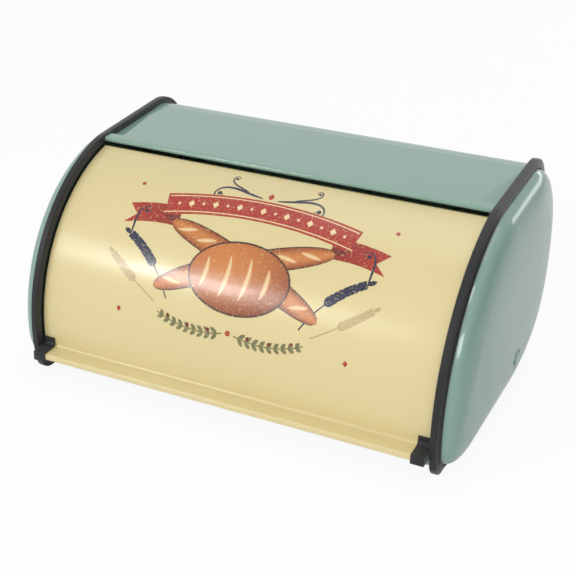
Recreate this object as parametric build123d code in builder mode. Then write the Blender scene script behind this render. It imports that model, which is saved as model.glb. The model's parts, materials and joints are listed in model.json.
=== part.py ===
from build123d import *
import os
from math import acos, asin, cos, degrees, pi, radians, sin, sqrt, tan

# Roll-top bread box in sheet steel. Millimetres, +Z up, +X to the right, the lid faces -Y.
# The origin is under the middle of the box, on the surface that the two rims stand on.
# Side profiles are drawn about the lid's pivot axis: first number along Y, second along Z.

# Side outline, which is the crest of the plastic rim trims
rim_radius = 138.0          # front curve, about the pivot axis
top_drop = 1.8              # flat top's crest, nearer to the pivot axis than the front curve
top_slope = 2.7             # degrees that this flat top rises to the back
back_reach = 100.2          # pivot axis to the rim's back
pivot_height = 33.3         # pivot axis above the surface that the box stands on
toe_corner = 14.0
back_top_corner = 36.2
back_bottom_corner = 99.7
crest_corner = 60.0         # soft corner between the front curve and the flat top

# Sheet metal, seams and the trims over them
sheet = 0.8
rim_inner_x = 167.2         # inner side of a rim trim
trim_width = 5.6            # across its crest
trim_wall = 1.0             # inner leg of the trim, and crest over the seam
seam_clearance = 0.2        # seam flange to the crest's underside
leg_depth = 5.0             # inner leg of the trim, down from the crest
cover_depth = 4.5           # outer leg, down from the crest
cover_edge = 0.5            # thickness of the outer leg's free edge
cover_flare = 2.1           # how far the outer leg leans out over the end cap
trim_rounding = 0.9
leg_gap = 0.1               # sheet to the end of a trim leg

# Top sheet and its front bead
bead_setback = 5.3          # bead's centre behind the corner between front curve and flat top
bead_radius = 2.2
bead_drop = 1.5             # top of the sheet at the bead, under the rim's crest
strip_depth = 8.0           # straight strip behind the bead
gusset_reach = 15.2         # how far the corner gussets of the top sheet reach in
lip_gap = 0.4               # front lip of the floor to the lid's shelf
hem_gap = 0.5               # end cap's hem to the ends of the body's seam flange

# End caps
dome_height = 19.6          # from the seam flange to the cap's crown
dome_reach = 24.0           # inset over which the dome rises
dome_power = 2.5            # exponent of its superellipse, 2 for an ellipse
dome_steps = 8
toe_growth = 1.15           # the toe's corner grows by this share of the inset
top_growth = 0.75           # and the upper back corner by this one
seat_radius = 7.4           # flat dimple under the pivot pin's head
seat_depth = 1.8            # its floor, in from the cap's crown

# Lid
lid_setback = 8.0           # lid's surface in from the rims' front curve
lid_tuck = 1.9              # how far its upper edge reaches under the top sheet, past the bead
lid_side_gap = 2.2
lid_edge_radius = 5.5
lid_flange = 14.0           # depth of the lid's side flanges
lid_top_flange = 5.0        # depth of the stiffening flange along its upper edge
shelf_z = -9.2              # top of the pull shelf at the lid's foot
shelf_depth = 14.4          # front of the shelf, out from the lid's surface
shelf_draft = 0.6           # how far the hem leans out at its foot
hem_height = 5.2
hem_return = 4.0
shelf_bend = 1.4
crease_bend = 2.5
foot_arc = 2.0              # degrees of the lid's curve that are bent with the shelf

# Lid clips
clip_width = 10.4
clip_side_gap = 0.5
clip_wall = 1.3
clip_rise = 8.0             # the clip's upper edge, above the shelf
clip_fit = 0.1
clip_rounding = 0.8
clip_cove = 4.0             # hollow bend over the crease
clip_hook = 4.2             # how far it reaches under the hem
clip_cheek = 8.0            # how far its side reaches in past the lid's surface
clip_lip_gap = 1.5          # its side to the floor's front lip

# Lid arms and pivots
arm_edge_gap = 1.1          # arm's edge in from the foot of the lid's rolled side
arm_margin = 3.0            # degrees that the arm stops short of the lid's ends
arm_corner = 6.0
hub_radius = 15.0
journal_radius = 4.5
running_fit = 0.05
side_play = 0.3             # arm to the bush's flange and to the washer
bush_flange_radius = 8.5
bush_flange = 1.2
pin_radius = 3.0
pin_head_radius = 5.4
pin_head_height = 1.8
pin_head_rounding = 1.4
pin_tail = 1.2
sleeve_radius = 7.0
washer_radius = 9.0
washer_thickness = 1.0
retainer_radius = 6.5
retainer_thickness = 1.0
rivet_end_margin = 12.0     # degrees from an arm's end to its first rivet
rivet_radius = 1.5
rivet_head_radius = 2.8
rivet_head_height = 0.8
rivet_count = 3

# Places that follow from the sizes above
top_distance = rim_radius - top_drop
rim_outer_x = rim_inner_x + trim_width
lid_radius = rim_radius - lid_setback
lid_half_width = rim_inner_x - lid_side_gap
shelf_front = lid_radius + shelf_depth
clip_outer_x = rim_inner_x - clip_side_gap
clip_inner_x = clip_outer_x - clip_width
arm_radius = lid_radius - lid_edge_radius - arm_edge_gap
rivet_ring = (lid_radius - lid_flange + arm_radius) / 2
clip_front = shelf_front + shelf_draft + clip_fit + clip_wall
pivot_y = (clip_front - back_reach) / 2
pivot = (0, pivot_y, pivot_height)
pivot_axis = Axis(pivot, (1, 0, 0))
flange_x = rim_inner_x + trim_wall
seam_x = flange_x + sheet
cover_x = seam_x + sheet
crown_x = cover_x + dome_height
seat_x = crown_x - seat_depth
flange_inset = trim_wall + seam_clearance
body_inset = leg_depth + leg_gap
cap_inset = cover_depth + 2 * leg_gap
lip_z = shelf_z - sheet - lip_gap
crease_angle = 180 + degrees(asin(-shelf_z / lid_radius))
arm_x = lid_half_width - 2 * sheet
arm_end = crease_angle - arm_margin
bush_x = lid_half_width - sheet + side_play
washer_x = arm_x - side_play - washer_thickness
retainer_x = washer_x - retainer_thickness


def side_plane(x):
    # YZ plane at x, with its own origin on the pivot axis
    return Plane(origin=(x, pivot_y, pivot_height), x_dir=(0, 1, 0), z_dir=(1, 0, 0))


def radial_plane(angle):
    # plane through the pivot axis: local x along the axis, local y outwards at this angle
    turn = radians(angle)
    return Plane(origin=pivot, x_dir=(1, 0, 0), z_dir=(0, -sin(turn), cos(turn)))


def crest_z(y, inset=0.0):
    # height of the rim's flat top over the pivot axis
    slope = radians(top_slope)
    return (top_distance - inset) / cos(slope) + y * tan(slope)


def crest_at(inset):
    # angle at which the front curve meets the flat top, both drawn in by inset
    return 90 + top_slope + degrees(acos((top_distance - inset) / (rim_radius - inset)))


bead_y = rim_radius * cos(radians(crest_at(0))) + bead_setback
bead_top = crest_z(bead_y) - bead_drop
lid_top_angle = degrees(acos((bead_y + lid_tuck) / lid_radius))
arm_start = lid_top_angle + arm_margin


def side_outline(inset, toe=None, top=None):
    # the rim's outline drawn in by inset, with its four soft corners
    front = rim_radius - inset
    floor = inset - pivot_height
    back = back_reach - inset
    crest = crest_at(inset)
    foot = 180 + degrees(asin(-floor / front))
    crest_point = (front * cos(radians(crest)), front * sin(radians(crest)))
    foot_point = (front * cos(radians(foot)), floor)
    back_top = (back, crest_z(back, inset))
    top_radius = back_top_corner - inset if top is None else top
    toe_radius = toe_corner - inset if toe is None else toe
    corners = (
        (crest_point, max(crest_corner - inset, crest_corner / 2)),
        (back_top, top_radius),
        ((back, floor), min(back_bottom_corner - inset, back_top[1] - floor - 1.1 * top_radius)),
        (foot_point, min(toe_radius, 0.45 * (front - floor))),
    )
    with BuildSketch() as outline:
        with BuildLine():
            CenterArc((0, 0), front, crest, foot - crest)
            Polyline(crest_point, back_top, (back, floor), foot_point)
        make_face()
        for place, radius in corners:
            fillet(outline.vertices().sort_by_distance(place)[0], radius)
    return outline.sketch


def cap_outline(inset):
    # the same outline on the end cap, whose toe and upper back corner open as it rises
    return side_outline(inset, toe_corner + toe_growth * inset, back_top_corner + top_growth * inset)


def mouth(back_edge, lower_edge):
    # side view of the lid's mouth: all in front of one line and above the other
    with BuildSketch() as opening:
        with Locations((back_edge, lower_edge)):
            Rectangle(2 * rim_radius, 2 * rim_radius, align=(Align.MAX, Align.MIN))
    return opening.sketch


def ring_sketch(outer, inner):
    with BuildSketch() as ring:
        Circle(outer)
        Circle(inner, mode=Mode.SUBTRACT)
    return ring.sketch


def save(piece, name):
    piece.part.label = name
    export_step(piece.part, f"parts/{name}.step")


def save_pair(piece, name):
    # the right-hand piece as built, and its mirror image on the left
    save(piece, f"right_{name}")
    with BuildPart() as twin:
        mirror(piece.part, about=Plane.YZ)
    save(twin, f"left_{name}")


os.makedirs("parts", exist_ok=True)

# Section of the sheet between the two seams, with the flat top that starts at the bead
corner_y = back_reach - back_top_corner
with BuildSketch() as sheet_face:
    add(side_outline(body_inset))
    with BuildLine():
        Polyline(
            (bead_y, 0),
            (bead_y, bead_top),
            (corner_y, crest_z(corner_y, body_inset)),
            (corner_y, 0),
            close=True,
        )
    make_face()
with BuildSketch() as sheet_core:
    add(sheet_face.sketch)
    offset(amount=-sheet, kind=Kind.INTERSECTION)

# Corner gusset: the top sheet folds down to the seam behind its straight front strip
strip_back = bead_y + strip_depth
top_rise = (crest_z(corner_y, body_inset) - bead_top) / (corner_y - bead_y)
fold_start = Vector(rim_inner_x - gusset_reach, pivot_y + strip_back,
                    pivot_height + bead_top + top_rise * strip_depth)
fold_low = Vector(rim_inner_x, pivot_y + strip_back, pivot_height + crest_z(strip_back, body_inset))
fold_end = Vector(rim_inner_x, pivot_y + corner_y, pivot_height + crest_z(corner_y, body_inset))
fold_plane = Plane(origin=fold_start, x_dir=fold_end - fold_start,
                   z_dir=(fold_low - fold_start).cross(fold_end - fold_start))


def gusset_prism():
    # upright prism over the gusset's plan, through the top sheet
    with BuildPart() as prism:
        with BuildSketch(Plane.XY.offset(pivot_height + bead_top)):
            with BuildLine():
                Polyline((fold_start.X, fold_start.Y), (fold_low.X, fold_low.Y),
                         (fold_end.X, fold_end.Y), close=True)
            make_face()
        extrude(amount=body_inset, both=True)
    return prism.part


with BuildPart() as gusset:
    add(gusset_prism())
    with BuildSketch(fold_plane):
        Rectangle(4 * corner_y, 4 * corner_y)
    extrude(amount=-sheet, mode=Mode.INTERSECT)
    with BuildSketch(Plane.XZ.offset(-fold_start.Y)):
        with BuildLine():
            Polyline((fold_start.X, fold_start.Z), (fold_low.X, fold_start.Z),
                     (fold_low.X, fold_low.Z - sheet), (fold_start.X, fold_start.Z - sheet), close=True)
        make_face()
    extrude(amount=sheet)

# Body shell: floor, back and top in one bent sheet, its ends turned up into the seams
with BuildPart() as body_shell:
    with BuildSketch(side_plane(0)):
        add(sheet_face.sketch)
        add(sheet_core.sketch, mode=Mode.SUBTRACT)
        add(mouth(bead_y + sheet, lip_z), mode=Mode.SUBTRACT)
        with Locations((bead_y, bead_top - bead_radius)):
            add(ring_sketch(bead_radius, bead_radius - sheet))
    extrude(amount=rim_inner_x, both=True)
    add(gusset_prism(), mode=Mode.SUBTRACT)
    add(mirror(gusset_prism(), about=Plane.YZ, mode=Mode.PRIVATE), mode=Mode.SUBTRACT)
    add(gusset.part)
    add(mirror(gusset.part, about=Plane.YZ, mode=Mode.PRIVATE))
    for side in (1, -1):
        with BuildSketch(side_plane(side * rim_inner_x)):
            add(side_outline(body_inset))
            add(side_outline(body_inset + sheet), mode=Mode.SUBTRACT)
            add(mouth(bead_y, lip_z), mode=Mode.SUBTRACT)
        extrude(amount=side * (seam_x - rim_inner_x))
        with BuildSketch(side_plane(side * flange_x)):
            add(side_outline(flange_inset))
            add(side_outline(body_inset + sheet), mode=Mode.SUBTRACT)
            add(mouth(bead_y, lip_z), mode=Mode.SUBTRACT)
        extrude(amount=side * sheet)
save(body_shell, "body_shell")


def cap_section(step, depth):
    # plane and inset of one section of the cap's superelliptic bulge, both moved in by depth
    # along the surface's normal
    turn = pi / 2 * step / dome_steps
    power = 2 / dome_power
    normal_out = sin(turn) ** (2 - power) / dome_height
    normal_in = cos(turn) ** (2 - power) / dome_reach
    length = sqrt(normal_out ** 2 + normal_in ** 2)
    x = cover_x + dome_height * sin(turn) ** power - depth * normal_out / length
    inset = cap_inset + dome_reach * (1 - cos(turn) ** power) + depth * normal_in / length
    return x, inset


def cap_bulge(depth, seat):
    # the bulge as a filled solid from the seam to its crown, with the pivot pin's dimple
    with BuildPart() as bulge:
        x, inset = cap_section(0, depth)
        with BuildSketch(side_plane(seam_x)):
            add(cap_outline(inset))
        extrude(amount=x - seam_x)
        for step in range(dome_steps + 1):
            x, inset = cap_section(step, depth)
            with BuildSketch(side_plane(x)):
                add(cap_outline(inset))
        loft(ruled=True)
        with BuildSketch(side_plane(seat_x - depth)):
            Circle(seat)
        extrude(amount=dome_height, mode=Mode.SUBTRACT)
    return bulge.part


# End caps: domed pressings with a flat seam flange, hemmed where the body has no sheet
with BuildPart() as right_end_cap:
    add(cap_bulge(0, seat_radius))
    add(cap_bulge(sheet, seat_radius + sheet), mode=Mode.SUBTRACT)
    with BuildSketch(side_plane(seam_x)):
        add(side_outline(flange_inset))
        add(cap_outline(cap_inset + sheet), mode=Mode.SUBTRACT)
    extrude(amount=sheet)
    with BuildSketch(side_plane(flange_x)):
        add(side_outline(flange_inset))
        add(side_outline(cap_inset + sheet), mode=Mode.SUBTRACT)
        add(mouth(bead_y - hem_gap, lip_z + hem_gap), mode=Mode.INTERSECT)
    extrude(amount=sheet)
    with BuildSketch(side_plane(seat_x - 2 * sheet)):
        Circle(pin_radius + running_fit)
    extrude(amount=4 * sheet, mode=Mode.SUBTRACT)
save_pair(right_end_cap, "end_cap")

# Rim trims: channels pressed over the seams, their outer legs leaning over the caps
with BuildPart() as right_rim_trim:
    with BuildSketch(side_plane(rim_inner_x)):
        add(side_outline(0))
    extrude(amount=rim_outer_x - rim_inner_x)
    crest_ends = right_rim_trim.edges().group_by(Axis.X)
    fillet(crest_ends[0] + crest_ends[-1], trim_rounding)
    with BuildSketch(side_plane(rim_outer_x)):
        add(side_outline(2 * trim_rounding))
    with BuildSketch(side_plane(rim_outer_x + cover_flare)):
        add(side_outline(cover_depth - cover_edge))
    loft(ruled=True)
    with BuildSketch(side_plane(rim_inner_x)):
        add(side_outline(leg_depth))
    extrude(amount=trim_wall, mode=Mode.SUBTRACT)
    with BuildSketch(side_plane(flange_x)):
        add(side_outline(trim_wall))
    extrude(amount=2 * sheet, mode=Mode.SUBTRACT)
    with BuildSketch(side_plane(cover_x)):
        add(side_outline(cover_depth))
    extrude(amount=trim_width + cover_flare, mode=Mode.SUBTRACT)
save_pair(right_rim_trim, "rim_trim")


def rivet_angles():
    # where the rivets through a side flange and its arm stand round the pivot
    first = arm_start + rivet_end_margin
    last = arm_end - rivet_end_margin
    return [first + (last - first) * i / (rivet_count - 1) for i in range(rivet_count)]


def rivet_circles(radius):
    with BuildSketch() as circles:
        for angle in rivet_angles():
            with Locations((rivet_ring * cos(radians(angle)), rivet_ring * sin(radians(angle)))):
                Circle(radius)
    return circles.sketch


# Lid panel: curved sheet with rolled sides, a stiffening flange, a pull shelf and its hem
with BuildPart() as lid_panel:
    with BuildSketch(radial_plane(lid_top_angle)):
        with BuildLine() as bend:
            Polyline(
                (-lid_half_width, lid_radius - lid_flange),
                (-lid_half_width, lid_radius),
                (lid_half_width, lid_radius),
                (lid_half_width, lid_radius - lid_flange),
            )
            fillet(bend.vertices().group_by(Axis.Y)[-1], lid_edge_radius)
            offset(amount=sheet, side=Side.RIGHT)
        make_face()
    revolve(axis=pivot_axis, revolution_arc=crease_angle - foot_arc - lid_top_angle)
    with BuildSketch(radial_plane(lid_top_angle)):
        with Locations((0, lid_radius - sheet)):
            Rectangle(2 * (lid_half_width - lid_edge_radius), lid_top_flange, align=(Align.CENTER, Align.MAX))
    extrude(amount=sheet)
    with BuildSketch(side_plane(0)):
        with BuildLine() as foot:
            CenterArc((0, 0), lid_radius, crease_angle - foot_arc, foot_arc)
            Polyline(
                (lid_radius * cos(radians(crease_angle)), shelf_z),
                (-shelf_front, shelf_z),
                (-shelf_front - shelf_draft, shelf_z - hem_height),
                (-shelf_front + hem_return, shelf_z - hem_height),
            )
            for bend_y, bend_z, radius in (
                (lid_radius * cos(radians(crease_angle)), shelf_z, crease_bend),
                (-shelf_front, shelf_z, shelf_bend),
                (-shelf_front - shelf_draft, shelf_z - hem_height, shelf_bend),
            ):
                fillet(foot.vertices().sort_by_distance((bend_y, bend_z))[0], radius)
            offset(amount=sheet, side=Side.LEFT)
        make_face()
    extrude(amount=lid_half_width, both=True)
    with BuildSketch(side_plane(-2 * lid_half_width)):
        add(rivet_circles(rivet_radius + running_fit))
    extrude(amount=4 * lid_half_width, mode=Mode.SUBTRACT)
save(lid_panel, "lid_panel")


def foot_side(out, cove):
    # side view of the lid's foot, its outer faces moved out by out, with a cove over the crease
    arc_start = degrees(asin((shelf_z + clip_rise) / (lid_radius + out)))
    arc_end = degrees(asin(-(shelf_z + out) / (lid_radius + out)))
    radius = lid_radius + out
    crease = (radius * cos(radians(180 + arc_end)), shelf_z + out)
    with BuildSketch() as profile:
        with BuildLine():
            CenterArc((0, 0), radius, 180 - arc_start, arc_start + arc_end)
            Polyline(
                crease,
                (-shelf_front - out, shelf_z + out),
                (-shelf_front - shelf_draft - out, shelf_z - hem_height - out),
                (-lid_radius + clip_cheek, shelf_z - hem_height - out),
                (-lid_radius + clip_cheek, shelf_z + clip_rise),
                (radius * cos(radians(180 - arc_start)), shelf_z + clip_rise),
            )
        make_face()
        fillet(profile.vertices().sort_by_distance(crease)[0], cove)
    return profile.sketch


# Lid clips: plastic corners over the ends of the pull shelf
clip_back = rim_radius - body_inset + clip_lip_gap
with BuildPart() as right_lid_clip:
    with BuildSketch(side_plane(clip_inner_x)):
        add(foot_side(clip_fit + clip_wall, clip_cove))
        with Locations((-clip_back, shelf_z - clip_fit)):
            Rectangle(clip_back, 2 * hem_height, align=(Align.MIN, Align.MAX), mode=Mode.SUBTRACT)
    extrude(amount=clip_outer_x - clip_inner_x)
    fillet(right_lid_clip.edges().filter_by(Axis.X).sort_by(Axis.Y)[:2], clip_rounding)
    with BuildSketch(side_plane(clip_inner_x)):
        add(foot_side(clip_fit, crease_bend - clip_fit))
        with Locations((-clip_front + clip_wall + clip_hook, shelf_z)):
            Rectangle(clip_back, 2 * hem_height, align=(Align.MIN, Align.MAX))
    extrude(amount=lid_half_width + clip_fit - clip_inner_x, mode=Mode.SUBTRACT)
save_pair(right_lid_clip, "lid_clip")

# Lid arms: sector plates inside the lid's side flanges, each with a hub round its pivot
with BuildPart() as right_lid_arm:
    with BuildSketch(side_plane(arm_x)) as sector:
        with BuildLine():
            CenterArc((0, 0), arm_radius, arm_start, arm_end - arm_start)
            Polyline(
                (arm_radius * cos(radians(arm_end)), arm_radius * sin(radians(arm_end))),
                (0, 0),
                (arm_radius * cos(radians(arm_start)), arm_radius * sin(radians(arm_start))),
            )
        make_face()
        fillet(sector.vertices().sort_by_distance((0, 0))[1:], arm_corner)
        Circle(hub_radius)
        Circle(journal_radius + running_fit, mode=Mode.SUBTRACT)
        add(rivet_circles(rivet_radius + running_fit), mode=Mode.SUBTRACT)
    extrude(amount=sheet)
save_pair(right_lid_arm, "lid_arm")

# Rivets: three through each side flange and its arm, with a head on both sides
with BuildPart() as right_arm_rivets:
    with BuildSketch(side_plane(arm_x - rivet_head_height)):
        add(rivet_circles(rivet_head_radius))
    extrude(amount=rivet_head_height)
    with BuildSketch(side_plane(lid_half_width)):
        add(rivet_circles(rivet_head_radius))
    extrude(amount=rivet_head_height)
    head_edges = right_arm_rivets.edges().group_by(Axis.X)
    chamfer(head_edges[0] + head_edges[-1], rivet_head_height / 2)
    with BuildSketch(side_plane(arm_x)):
        add(rivet_circles(rivet_radius))
    extrude(amount=2 * sheet)
save_pair(right_arm_rivets, "arm_rivets")

# Pivot pins: round heads in the caps' dimples, shanks through to the push-on retainers
with BuildPart() as right_pivot_pin:
    with BuildSketch(side_plane(seat_x)):
        Circle(pin_head_radius)
    extrude(amount=pin_head_height)
    fillet(right_pivot_pin.edges().group_by(Axis.X)[-1], pin_head_rounding)
    with BuildSketch(side_plane(retainer_x - pin_tail)):
        Circle(pin_radius)
    extrude(amount=seat_x - retainer_x + pin_tail)
save_pair(right_pivot_pin, "pivot_pin")

# Pivot spacers: steel sleeves from the caps' dimples in to the bushes
with BuildPart() as right_pivot_spacer:
    with BuildSketch(side_plane(bush_x + bush_flange)):
        add(ring_sketch(sleeve_radius, pin_radius + running_fit))
    extrude(amount=seat_x - sheet - bush_x - bush_flange)
save_pair(right_pivot_spacer, "pivot_spacer")

# Pivot bushes: nylon journals with a flange on the outer side of the arm
with BuildPart() as right_pivot_bush:
    with BuildSketch(side_plane(bush_x)):
        add(ring_sketch(bush_flange_radius, pin_radius + running_fit))
    extrude(amount=bush_flange)
    with BuildSketch(side_plane(washer_x + washer_thickness)):
        add(ring_sketch(journal_radius, pin_radius + running_fit))
    extrude(amount=bush_x - washer_x - washer_thickness)
save_pair(right_pivot_bush, "pivot_bush")

# Pivot washers and the push-on retainers behind them
with BuildPart() as right_pivot_washer:
    with BuildSketch(side_plane(washer_x)):
        add(ring_sketch(washer_radius, pin_radius + running_fit))
    extrude(amount=washer_thickness)
save_pair(right_pivot_washer, "pivot_washer")

with BuildPart() as right_pivot_retainer:
    with BuildSketch(side_plane(retainer_x)):
        add(ring_sketch(retainer_radius, pin_radius + running_fit))
    extrude(amount=retainer_thickness)
save_pair(right_pivot_retainer, "pivot_retainer")
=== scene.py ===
# Roll-top bread box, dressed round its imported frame.
# Lengths are millimetres until a mesh is made; side views are (y, z) about the lid's pivot.
import json
import math

import bmesh
import bpy
import numpy as np
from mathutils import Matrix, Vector


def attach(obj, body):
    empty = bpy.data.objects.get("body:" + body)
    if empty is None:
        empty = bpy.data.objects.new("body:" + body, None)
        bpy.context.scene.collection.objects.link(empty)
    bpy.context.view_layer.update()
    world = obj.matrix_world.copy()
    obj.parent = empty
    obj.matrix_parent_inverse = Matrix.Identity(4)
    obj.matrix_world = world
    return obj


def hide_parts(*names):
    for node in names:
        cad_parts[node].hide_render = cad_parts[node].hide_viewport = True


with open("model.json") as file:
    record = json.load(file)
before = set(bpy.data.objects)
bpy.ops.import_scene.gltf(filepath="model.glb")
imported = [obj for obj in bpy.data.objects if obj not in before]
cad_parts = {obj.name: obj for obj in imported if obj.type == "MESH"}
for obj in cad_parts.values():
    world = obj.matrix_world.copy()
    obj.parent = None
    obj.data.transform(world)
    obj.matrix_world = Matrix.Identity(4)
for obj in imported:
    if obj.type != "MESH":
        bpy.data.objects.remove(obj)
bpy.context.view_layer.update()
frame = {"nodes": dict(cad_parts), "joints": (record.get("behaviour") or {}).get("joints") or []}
pivot = 1000 * np.array(frame["joints"][0]["pos_m"])
print("frame loaded, pivot at", pivot)

# side outline of the rims, and the seam between body and caps that they cover
rim = dict(radius=138.0, topDistance=136.2, topSlope=2.7, backReach=100.2, height=33.3,
           toe=14.0, upperBack=36.2, lowerBack=99.7, crest=60.0, pastPivot=-13.0)
seam = dict(inner=167.2, outer=172.8, cover=4.5, wall=1.0, sheet=0.8, flange=1.2)
# points on each stretch of the outline
counts = dict(front=90, crest=16, top=18, upper=30, back=10, lower=40, floor=24, toe=18)


def spread(start, end, count):
    # even steps from start that stop one step short of end
    return np.linspace(start, end, count, endpoint=False)


def arcPoints(centre, radius, first, last, count):
    # points centre + radius * (cos, sin) of an angle in degrees that runs from first to last
    angle = np.radians(spread(first, last, count))
    return np.stack([centre[0] + radius * np.cos(angle), centre[1] + radius * np.sin(angle)], axis=1)


def linePoints(start, end, count):
    # points start * (1 - t) + end * t, without the last one
    share = spread(0, 1, count)[:, None]
    return np.array(start) * (1 - share) + np.array(end) * share


def crestZ(y, inset=0.0):
    # height of the top's slanting line at y: distance from the pivot / cos(slope) + y * tan(slope)
    slope = math.radians(rim["topSlope"])
    return (rim["topDistance"] - inset) / math.cos(slope) + y * math.tan(slope)


def cornerRadii(inset, toe, upper):
    # radii of the toe, upper back and lower back corners; the toe's and the lower back one give way
    # where the drawn-in sides are too short for them
    floorZ = inset - rim["height"]
    lower = min(rim["lowerBack"] - inset, crestZ(rim["backReach"] - inset, inset) - floorZ - 1.1 * upper)
    return min(toe, 0.45 * (rim["radius"] - inset - floorZ)), upper, lower


def outlineParts(inset, corners=None, floorCount=None):
    # the closed outline drawn in by inset, as arcs and lines that touch: front arc about the pivot,
    # crest arc, flat top, upper back arc, back, lower back arc, floor, toe arc
    front = rim["radius"] - inset
    floorZ = inset - rim["height"]
    backY = rim["backReach"] - inset
    top = rim["topDistance"] - inset
    slope = math.radians(rim["topSlope"])
    across = np.array([-math.sin(slope), math.cos(slope)])
    along = np.array([math.cos(slope), math.sin(slope)])
    crestR = max(rim["crest"] - inset, rim["crest"] / 2)
    if corners is None:
        corners = cornerRadii(inset, rim["toe"] - inset, rim["upperBack"] - inset)
    toeR, upperR, lowerR = corners
    crestC = across * (top - crestR) - along * math.sqrt((front - crestR) ** 2 - (top - crestR) ** 2)
    toeC = np.array([-math.sqrt((front - toeR) ** 2 - (floorZ + toeR) ** 2), floorZ + toeR])
    upperC = np.array([backY - upperR,
                       (top - upperR + (backY - upperR) * math.sin(slope)) / math.cos(slope)])
    lowerC = np.array([backY - lowerR, floorZ + lowerR])
    toeAngle = math.degrees(math.atan2(toeC[1], toeC[0])) % 360
    crestAngle = math.degrees(math.atan2(crestC[1], crestC[0]))
    topAngle = 90 + rim["topSlope"]
    if floorCount is None:
        floor = linePoints((lowerC[0], floorZ), (toeC[0], floorZ), counts["floor"])
    else:
        # closer points where the floor passes under the pivot, up to y = pastPivot
        floor = np.concatenate([linePoints((lowerC[0], floorZ), (rim["pastPivot"], floorZ), floorCount),
                                linePoints((rim["pastPivot"], floorZ), (toeC[0], floorZ), counts["floor"])])
    return [
        arcPoints((0, 0), front, toeAngle, crestAngle, counts["front"]),
        arcPoints(crestC, crestR, crestAngle, topAngle, counts["crest"]),
        linePoints(crestC + across * crestR, upperC + across * upperR, counts["top"]),
        arcPoints(upperC, upperR, topAngle, 0, counts["upper"]),
        linePoints((backY, upperC[1]), (backY, lowerC[1]), counts["back"]),
        arcPoints(lowerC, lowerR, 0, -90, counts["lower"]),
        floor,
        arcPoints(toeC, toeR, 270, toeAngle, counts["toe"]),
    ]


def outline(inset, corners, floorCount=None):
    return np.concatenate(outlineParts(inset, corners, floorCount))


def roundedPath(corners, radii, count=6):
    # open polyline whose inner corners are arcs tangent to both of their sides
    corners = [np.array(c, float) for c in corners]
    path = [corners[0]]
    for before, here, after, radius in zip(corners, corners[1:], corners[2:], radii):
        inward = (before - here) / np.linalg.norm(before - here)
        onward = (after - here) / np.linalg.norm(after - here)
        half = math.acos(np.clip(inward @ onward, -1, 1)) / 2
        reach = radius / math.tan(half)
        middle = inward + onward
        centre = here + middle / np.linalg.norm(middle) * radius / math.sin(half)
        start = here + inward * reach - centre
        end = here + onward * reach - centre
        sweep = math.atan2(start[0] * end[1] - start[1] * end[0], start @ end)
        for angle in np.linspace(0, sweep, count + 1):
            turn = np.array([[math.cos(angle), -math.sin(angle)], [math.sin(angle), math.cos(angle)]])
            path.append(centre + turn @ start)
    path.append(corners[-1])
    return np.array(path)


def eased(share):
    # 3 t^2 - 2 t^3
    return share * share * (3 - 2 * share)


def addObject(name, data):
    added = bpy.data.objects.new(name, data)
    bpy.context.scene.collection.objects.link(added)
    return added


def gridFaces(rows, cols, closeRows=False, closeCols=False, first=0):
    # one quad between each pair of neighbouring rows and columns
    r = np.arange(rows if closeRows else rows - 1)[:, None]
    c = np.arange(cols if closeCols else cols - 1)[None, :]
    nextR, nextC = (r + 1) % rows, (c + 1) % cols
    quads = np.stack([r * cols + c, r * cols + nextC, nextR * cols + nextC, nextR * cols + c], axis=-1)
    return quads.reshape(-1, 4) + first


def makePiece(name, patches, body, material, replaced=(), thickness=0.0, mirrored=False,
              weld=False, colours=None):
    # patches are (grid, closeRows, closeCols); a grid is (rows, cols, 3) with x, and y, z about the pivot
    points, faces, total = [], [], 0
    for grid, closeRows, closeCols in patches:
        rows, cols = grid.shape[:2]
        flat = grid.reshape(-1, 3).copy()
        quads = gridFaces(rows, cols, closeRows, closeCols, total)
        if mirrored:
            flat[:, 0] *= -1
            quads = quads[:, ::-1]
        points.append(flat)
        faces.append(quads)
        total += len(flat)
    place = (np.concatenate(points) + np.array([0, pivot[1], pivot[2]])) / 1000
    mesh = bpy.data.meshes.new(name)
    mesh.from_pydata(place.tolist(), [], np.concatenate(faces).tolist())
    if colours is not None:
        layer = mesh.color_attributes.new(name="ink", type="FLOAT_COLOR", domain="POINT")
        layer.data.foreach_set("color", np.column_stack([colours, np.ones(len(colours))]).ravel())
    if weld:
        work = bmesh.new()
        work.from_mesh(mesh)
        bmesh.ops.remove_doubles(work, verts=work.verts, dist=0.000008)
        work.to_mesh(mesh)
        work.free()
    mesh.polygons.foreach_set("use_smooth", [True] * len(mesh.polygons))
    mesh.update()
    mesh.materials.append(material)
    piece = addObject(name, mesh)
    if thickness:
        wall = piece.modifiers.new("sheet", "SOLIDIFY")
        wall.thickness = thickness / 1000
        wall.offset = -1
        wall.use_even_offset = True
    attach(piece, body)
    if replaced:
        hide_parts(*replaced)
    return piece


def bevelledCopy(node, body, material, width, segments):
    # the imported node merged, its flat faces joined and its sharp edges rounded
    mesh = frame["nodes"][node].data.copy()
    mesh.name = node + "Round"
    work = bmesh.new()
    work.from_mesh(mesh)
    bmesh.ops.remove_doubles(work, verts=work.verts, dist=0.000002)
    bmesh.ops.dissolve_limit(work, angle_limit=math.radians(1.0), verts=work.verts, edges=work.edges)
    work.to_mesh(mesh)
    work.free()
    mesh.polygons.foreach_set("use_smooth", [True] * len(mesh.polygons))
    mesh.materials.clear()
    mesh.materials.append(material)
    piece = addObject(node + "Round", mesh)
    edge = piece.modifiers.new("edges", "BEVEL")
    edge.width = width / 1000
    edge.segments = segments
    edge.limit_method = "ANGLE"
    edge.angle_limit = math.radians(35)
    edge.harden_normals = True
    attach(piece, body)
    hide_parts(node)


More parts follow.
